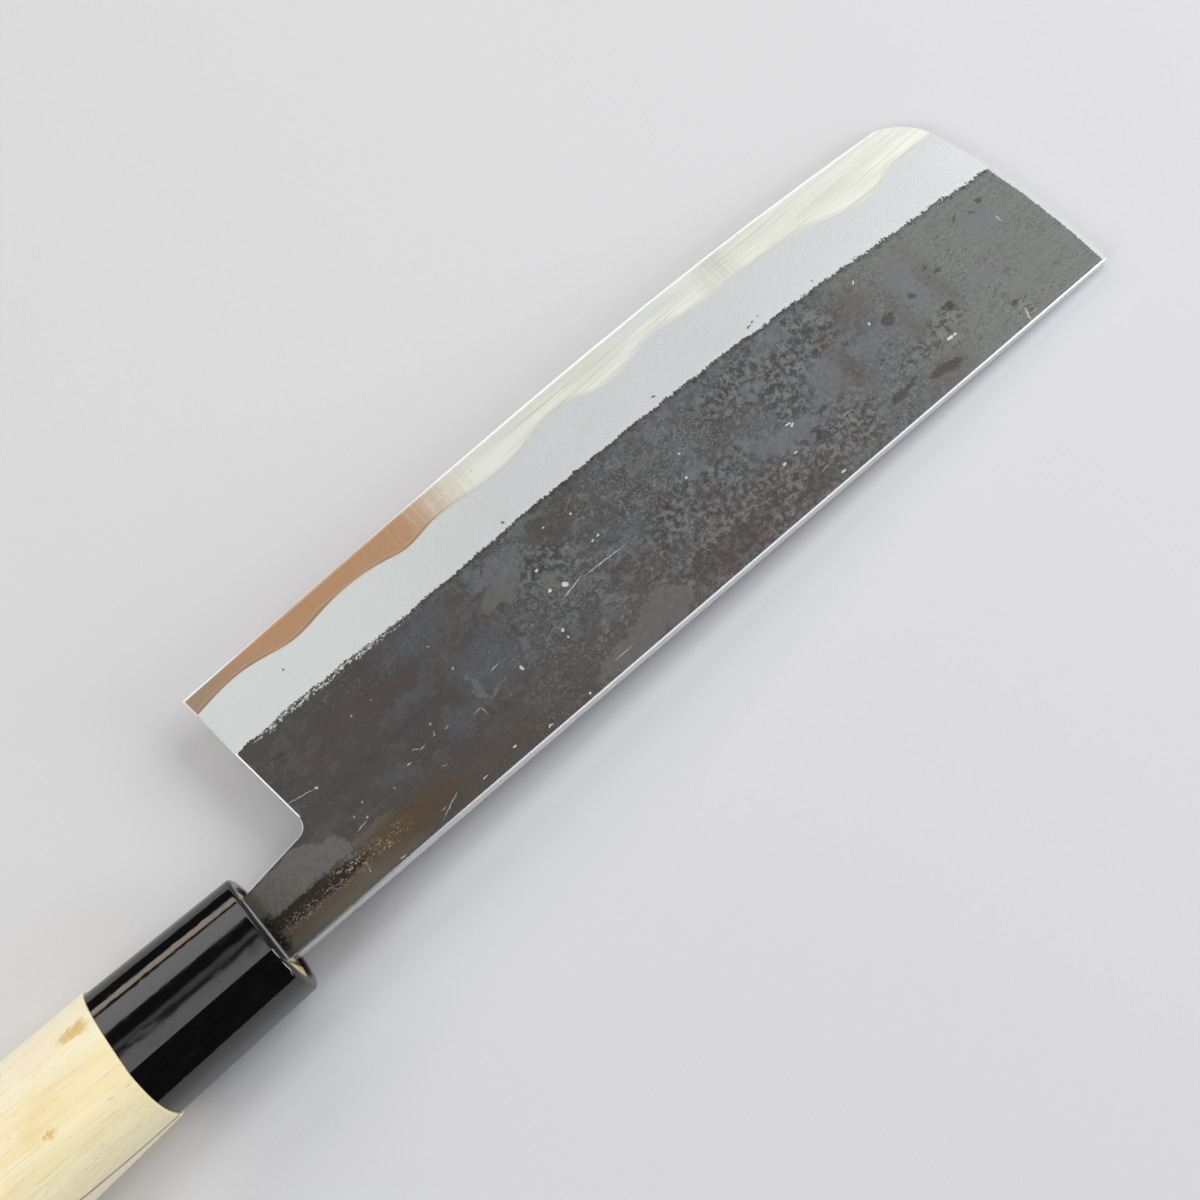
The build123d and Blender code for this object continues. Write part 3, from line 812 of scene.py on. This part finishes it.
def wood_material(settings):
    """Pale sanded wood: fine lengthwise grain, small dark pores, soft tan streaks and stains, painted light
    on the edge side.
    """
    material, board = new_material("handle_pale_wood")
    at = board.group("Knife Place")
    place, along, height = at["Place"], at["Along"], at["Height"]
    turned = board.turn(place, radians(GRAIN_TURN))
    bands = board.noise(board.stretch(turned, (0.012, 0.22, 0.22)), detail=3.0, bend=0.3)
    grain = board.noise(board.stretch(turned, (0.05, 1.5, 1.5)), detail=5.0, rough=0.7)
    hair = board.noise(board.stretch(turned, (0.16, 5.5, 5.5)), detail=3.0, rough=0.6)
    flame = board.noise(board.stretch(turned, (0.05, 0.12, 0.12), (5.0, 2.0, 0.0)), detail=2.0)
    shade = board.mix(board.step(bands, 0.38, 0.62), settings.wood_pale, settings.wood_yellow)
    shade = board.mix(board.times(board.step(grain, 0.48, 0.72), 0.55), shade, settings.wood_grain)
    shade = board.lay_steps(
        shade,
        (hair, 0.55, 0.75, 0.3, (214, 184, 124)),
        (hair, 0.45, 0.3, 0.4, (255, 248, 220)),
        (flame, 0.52, 0.66, 0.4, (240, 211, 146)),
        # Painted light: the wood is painted paler towards the edge side
        (height, 4.0, 15.0, 0.6, (255, 250, 228)),
    )
    for number, offset, share in WOOD_PORES:
        pore_place = board.stretch(turned, (0.24, 1.0, 1.0), (offset, 0.0, 0.0))
        shade = board.lay(shade, dust(board, pore_place, number, 0.22, 0.4), share, (196, 160, 104))
    squeezed = board.stretch(place, (STAIN_SQUEEZE, 1.0, 1.0))
    torn = ragged_place(board, squeezed, raggedness(board, squeezed), 0.0, 2.6)
    torn = board.vector("MULTIPLY", torn, (1.0 / STAIN_SQUEEZE, 1.0, 1.0))
    shade = board.lay(shade, patches(board, torn, WOOD_STAINS, 0.5), 0.72, (218, 172, 60))
    shade = spine_light_and_shade(board, at, shade)

    # Yearly rings of the butt end
    end = board.math("ABSOLUTE", facing(board, (cos(KNIFE_PITCH), 0.0, -sin(KNIFE_PITCH))))
    centred = board.stretch(place, (0.0, 1.0, 1.0), (0.0, 26.0, 6.0))
    inputs = {"Vector": centred, "Scale": 0.32, "Distortion": 1.6, "Detail": 3.0, "Detail Scale": 0.5}
    wave = board.node("ShaderNodeTexWave", inputs, wave_type="RINGS", rings_direction="X").outputs["Fac"]
    rings = board.mix(board.times(wave, 0.5), srgb(222, 194, 138), srgb(190, 156, 100))
    shade = board.mix(board.times(board.step(end, 0.8, 0.95), 0.8), shade, rings)

    # Wood in the ring's mouth, darker round the tang
    beside_tang = board.times(board.step(at["Up"], 5.6, 4.6), board.between(height, -0.7, 0.0, 13.2, 13.9))
    dark_round_tang = board.times(board.step(along, -20.0, -16.0), beside_tang)
    shade = board.lay(shade, dark_round_tang, 0.92, (30, 21, 13))
    rough = board.add(WOOD_ROUGHNESS, board.times(grain, 0.16))
    normal = board.bump(board.add(board.times(grain, 0.7), board.times(hair, 0.3)), GRAIN_DEPTH, 0.5)
    finish_surface(board, Base_Color=shade, Roughness=rough, Normal=normal)
    return material


def dress(node, material):
    """Gives a CAD node its finish."""
    made = frame["nodes"][node]
    made.data.materials.clear()
    made.data.materials.append(material)


def colour_setting(name, description, colour):
    """Setting that holds a linear colour."""
    return FloatVectorProperty(name=name, description=description, subtype="COLOR", default=colour)


def number_setting(name, description, number):
    """Setting that holds a plain number."""
    return FloatProperty(name=name, description=description, default=number)


class NakiriBlade(bpy.types.PropertyGroup):
    core_colour: colour_setting("Hard steel", "Colour of the polished edge steel", srgb(239, 241, 228))
    core_highlight: colour_setting("Hard steel, light", "Lighter tone of the edge steel", srgb(246, 248, 238))
    core_roughness: number_setting("Polish", "Roughness of the polished edge steel", 0.27)
    patina_colour: colour_setting("Patina", "Warm patina at the heel", srgb(198, 155, 119))
    bevel_colour: colour_setting("Bevel", "Colour of the ground bevel", srgb(206, 210, 210))
    bevel_highlight: colour_setting("Bevel, light", "Lighter tone of the ground bevel", srgb(216, 219, 222))
    bevel_roughness: number_setting("Bevel grind", "Roughness of the ground bevel", 0.46)
    # The scale's colours from heel to tip grow lighter, partly the scale's own tone and partly a painted
    # sheen
    scale_brown: colour_setting("Scale, brown", "Brownish tone of the forge scale", srgb(78, 74, 73))
    scale_blue: colour_setting("Scale, blue", "Blue-grey tone of the forge scale", srgb(86, 87, 88))
    scale_worn: colour_setting("Scale, grey", "Tone of the scale past the middle", srgb(98, 100, 102))
    scale_tip: colour_setting("Scale, worn", "Tone of the worn scale near the tip", srgb(118, 121, 118))
    scale_metallic: number_setting("Scale sheen", "Share of metal in the forge scale", 0.55)
    polish_colour: colour_setting("Eased spine", "Colour of the eased spine and choil", srgb(238, 241, 244))


class NakiriHandle(bpy.types.PropertyGroup):
    ferrule_colour: colour_setting("Ferrule", "Colour of the ring", (0.0012, 0.001, 0.001))
    wood_pale: colour_setting("Wood, pale", "Palest tone of the wood", srgb(254, 243, 204))
    wood_yellow: colour_setting("Wood, yellow", "Yellow tone of the wood", srgb(251, 235, 187))
    wood_grain: colour_setting("Wood grain", "Darker lines of the wood", srgb(226, 200, 146))


class NakiriStudio(bpy.types.PropertyGroup):
    floor_colour: colour_setting("Table", "Colour of the table under and round the knife", (0.72, 0.72, 0.73))
    floor_far: colour_setting("Table, far", "Colour of the table near the lamps", (0.36, 0.36, 0.365))
    world_level: number_setting("Surroundings", "Brightness of the surroundings", 0.04)
    end_level: number_setting("End lamps", "Brightness of the lamps at both ends", 3.7)
    camera_place: FloatVectorProperty(
        name="Camera", description="Where the camera stands",
        subtype="TRANSLATION", unit="LENGTH", default=(0.037982, -0.104276, 0.321625),
    )
    camera_turn: FloatVectorProperty(
        name="Camera turn", description="How the camera is turned",
        subtype="EULER", default=(radians(14.6092), radians(9.503), radians(-40.5118)),
    )
    lens: number_setting("Lens", "Focal length on a 36 mm frame, in millimetres", 60.0)


class NAKIRI_OT_blade(bpy.types.Operator):
    """Finish the three layers of the blade"""

    bl_idname = "nakiri.blade"
    bl_label = "Finish blade"

    def execute(self, context):
        settings = context.scene.nakiri_blade
        dress("core_steel", core_material(settings))
        dress("left_cladding", cladding_material("left_cladding_iron", settings, (0.0, 0.0, 0.0), True))
        dress("right_cladding", cladding_material("right_cladding_iron", settings, (300.0, 80.0, 0.0), False))
        return {"FINISHED"}


class NAKIRI_OT_ferrule(bpy.types.Operator):
    """Finish the black ring"""

    bl_idname = "nakiri.ferrule"
    bl_label = "Finish ferrule"

    def execute(self, context):
        dress("ferrule", ferrule_material(context.scene.nakiri_handle))
        return {"FINISHED"}


class NAKIRI_OT_handle(bpy.types.Operator):
    """Finish the wooden handle"""

    bl_idname = "nakiri.handle"
    bl_label = "Finish handle"

    def execute(self, context):
        dress("handle", wood_material(context.scene.nakiri_handle))
        return {"FINISHED"}


class NAKIRI_OT_stage(bpy.types.Operator):
    """Lay the table, hang the lamps and stand the camera"""

    bl_idname = "nakiri.stage"
    bl_label = "Set stage"

    def execute(self, context):
        settings = context.scene.nakiri_studio
        lay_table(settings)
        hang_lamps(settings)
        stand_camera(settings)
        context.scene.view_settings.view_transform = "Standard"
        return {"FINISHED"}


def new_object(name, data):
    """Object in the scene that holds data."""
    made = bpy.data.objects.new(name, data)
    bpy.context.scene.collection.objects.link(made)
    return made


def lay_table(settings):
    """Wide plain table under the knife, painted darker towards the lamps as painted shade."""
    shape = bmesh.new()
    bmesh.ops.create_grid(shape, x_segments=1, y_segments=1, size=TABLE_REACH)
    mesh = bpy.data.meshes.new("table")
    shape.to_mesh(mesh)
    shape.free()
    table = new_object("table", mesh)
    material, board = new_material("table_pale")
    place = board.node("ShaderNodeTexCoord").outputs["Object"]
    # Painted shade: the table darkens away from the knife, towards the lamps
    away = board.step(board.vector("LENGTH", place, output="Value"), TABLE_NEAR, TABLE_FAR)
    coloured = board.mix(away, settings.floor_colour, settings.floor_far)
    finish_surface(board, Base_Color=coloured, Roughness=1.0, Specular_IOR_Level=0.0)
    mesh.materials.append(material)


def soft_lamp(name, place, size, level, colour, aim=(0.0, 0.0, 0.0)):
    """Rectangular soft lamp, of size in metres, whose face is as bright as level."""
    lamp = bpy.data.lights.new(name, "AREA")
    lamp.shape = "RECTANGLE"
    lamp.size, lamp.size_y = size
    lamp.energy = level * size[0] * size[1] * pi
    lamp.color = colour
    made = new_object(name, lamp)
    made.location = place
    made.rotation_euler = (Vector(aim) - Vector(place)).to_track_quat("-Z", "Y").to_euler()
    made.visible_camera = False


def hang_lamps(settings):
    """Long lamps over the knife and beside its spine, one at each end, one for the rim, even surroundings."""
    world = bpy.data.worlds.new("surroundings")
    bpy.context.scene.world = world
    world.use_nodes = True
    background = world.node_tree.nodes["Background"]
    background.inputs["Color"].default_value = (*WHITE, 1.0)
    background.inputs["Strength"].default_value = settings.world_level
    for name, lean, width, start, finish, level, colour in LONG_LAMPS:
        middle = (start + finish) / 2
        place = (middle, LAMP_REACH * sin(radians(lean)), LAMP_REACH * cos(radians(lean)))
        size = (finish - start, LAMP_REACH * radians(width))
        soft_lamp(name, place, size, level, colour, aim=(middle, 0.0, 0.0))
    for name, place in END_LAMPS:
        soft_lamp(name, place, END_LAMP_SIZE, settings.end_level, WHITE)
    soft_lamp(*RIM_LAMP)


def stand_camera(settings):
    """Camera where the photograph was taken."""
    camera = bpy.data.cameras.new("camera")
    camera.sensor_width = 36.0
    camera.lens = settings.lens
    camera.clip_start = 0.01
    made = new_object("camera", camera)
    made.location = settings.camera_place
    made.rotation_euler = settings.camera_turn
    bpy.context.scene.camera = made


class NAKIRI_PT_panel(bpy.types.Panel):
    """Steps and settings of the knife"""

    bl_label = "Nakiri knife"
    bl_idname = "NAKIRI_PT_panel"
    bl_space_type = "VIEW_3D"
    bl_region_type = "UI"
    bl_category = "Nakiri"

    def draw(self, context):
        for step in STEPS:
            self.layout.operator(step)
        for key in SETTINGS:
            group = getattr(context.scene, key)
            for name in group.__annotations__:
                self.layout.prop(group, name)


# The settings, by the name that the scene holds them under
SETTINGS = {"nakiri_blade": NakiriBlade, "nakiri_handle": NakiriHandle, "nakiri_studio": NakiriStudio}
CLASSES = (
    *SETTINGS.values(),
    NAKIRI_OT_blade,
    NAKIRI_OT_ferrule,
    NAKIRI_OT_handle,
    NAKIRI_OT_stage,
    NAKIRI_PT_panel,
)
STEPS = ("nakiri.blade", "nakiri.ferrule", "nakiri.handle", "nakiri.stage")


def register():
    for entry in CLASSES:
        bpy.utils.register_class(entry)
    for key, group in SETTINGS.items():
        setattr(bpy.types.Scene, key, PointerProperty(type=group))


def unregister():
    for key in SETTINGS:
        delattr(bpy.types.Scene, key)
    for entry in reversed(CLASSES):
        bpy.utils.unregister_class(entry)


def main():
    """Builds the whole scene."""
    register()
    build_groups()
    for step in STEPS:
        family, name = step.split(".")
        getattr(getattr(bpy.ops, family), name)()


if __name__ == "__main__":
    main()
